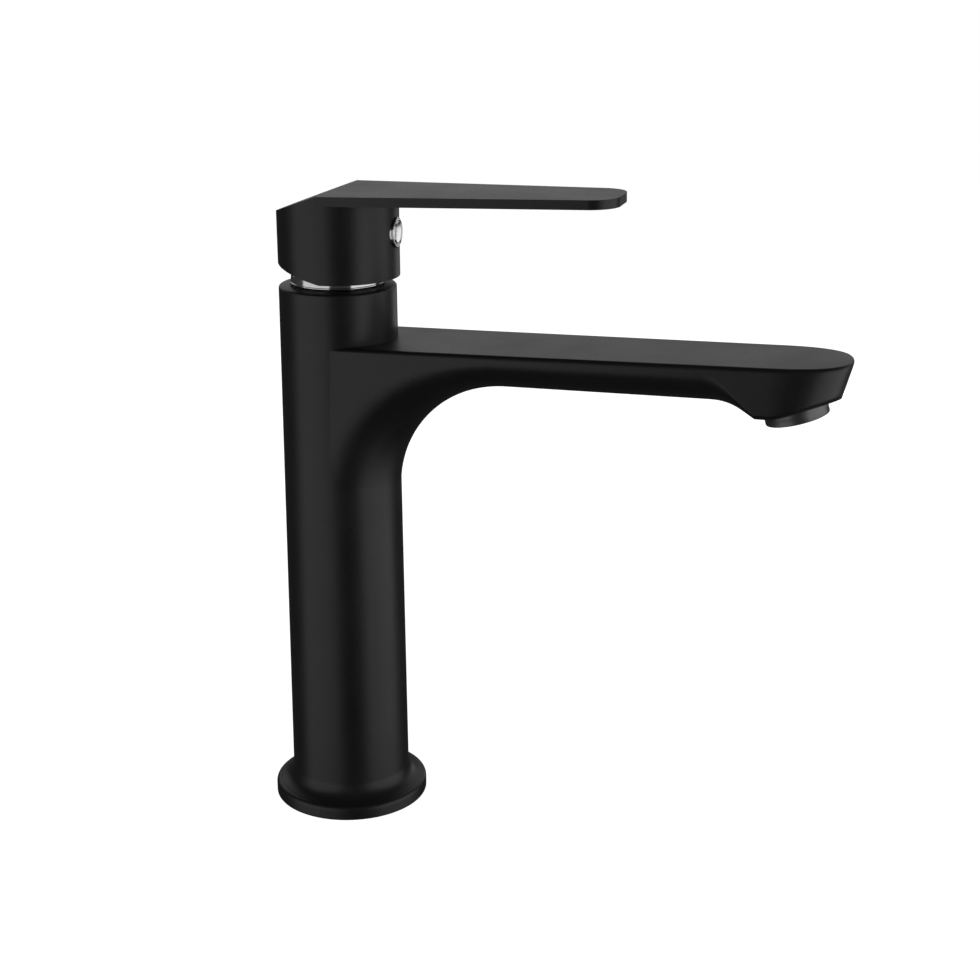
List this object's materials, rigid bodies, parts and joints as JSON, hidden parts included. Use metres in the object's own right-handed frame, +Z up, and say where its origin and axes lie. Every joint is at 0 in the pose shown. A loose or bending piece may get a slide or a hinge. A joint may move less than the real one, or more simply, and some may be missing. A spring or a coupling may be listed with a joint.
{
  "type": "bathroom mixer faucet",
  "caption": "Tall round single-lever basin mixer with a flat-topped straight spout, tilted aerator and a tapering blade lever.",
  "frame": {"origin": "centre of the foot's flat underside, on the valve axis, where the faucet sits on the basin deck", "axes": "+Z up along the column and the swivel axis, +X along the spout and the lever, +Y to the hot side"},
  "size_m": [0.2315, 0.0634, 0.2557],
  "materials": {
    "black_coat": "matt black coating on brass",
    "lever_coat": "matt black coating on zinc",
    "plug_chrome": "polished",
    "collar_chrome": "polished",
    "steel": "turned",
    "nut_brass": "turned",
    "riser_brass": "drawn tube",
    "block_brass": "turned",
    "cartridge_plastic": "moulded",
    "base_plastic": "moulded",
    "turret_plastic": "moulded",
    "driver_plastic": "moulded",
    "ceramic": "lapped alumina ceramic",
    "seal_rubber": "moulded",
    "gasket_rubber": "moulded",
    "aerator_grey": "satin dark grey coating",
    "screen_steel": "woven mesh",
    "insert_plastic": "moulded",
    "regulator_plastic": "moulded"
  },
  "bodies": {
    "faucet_body": {"body": "black_coat", "inlet_block": "block_brass", "base_gasket": "gasket_rubber", "hot_riser": "riser_brass", "cold_riser": "riser_brass", "hot_riser_lower_seal": "seal_rubber", "hot_riser_upper_seal": "seal_rubber", "cold_riser_lower_seal": "seal_rubber", "cold_riser_upper_seal": "seal_rubber", "hot_port_seal": "seal_rubber", "cold_port_seal": "seal_rubber", "outlet_port_seal": "seal_rubber", "cartridge_base": "base_plastic", "cartridge_shell": "cartridge_plastic", "fixed_disc": "ceramic", "retaining_nut": "nut_brass", "trim_collar": "collar_chrome", "aerator_housing": "aerator_grey", "aerator_washer": "seal_rubber", "aerator_screen": "screen_steel", "aerator_insert": "insert_plastic", "flow_regulator": "regulator_plastic"},
    "turret": {"turret": "turret_plastic", "stem_pin": "steel"},
    "lever": {"lever_handle": "lever_coat", "stem": "steel", "handle_grub_screw": "steel", "index_plug": "plug_chrome"},
    "mixing_disc": {"disc_driver": "driver_plastic", "moving_disc": "ceramic"}
  },
  "joints": [
    {"name": "handle_swivel", "type": "hinge", "parent": "faucet_body", "child": "turret", "pos_m": [0, 0, 0.2145], "axis": [0, 0, 1], "range_deg": [-50, 50]},
    {"name": "handle_lift", "type": "hinge", "parent": "turret", "child": "lever", "pos_m": [0, 0, 0.2145], "axis": [0, -1, 0], "range_deg": [0, 25]},
    {"name": "disc_slide", "type": "slide", "parent": "turret", "child": "mixing_disc", "axis": [1, 0, 0], "range_m": [0, 0.0032]}
  ],
  "couplings": [
    {"joint": "disc_slide", "follows": "handle_lift", "m_per_rad": 0.007}
  ]
}
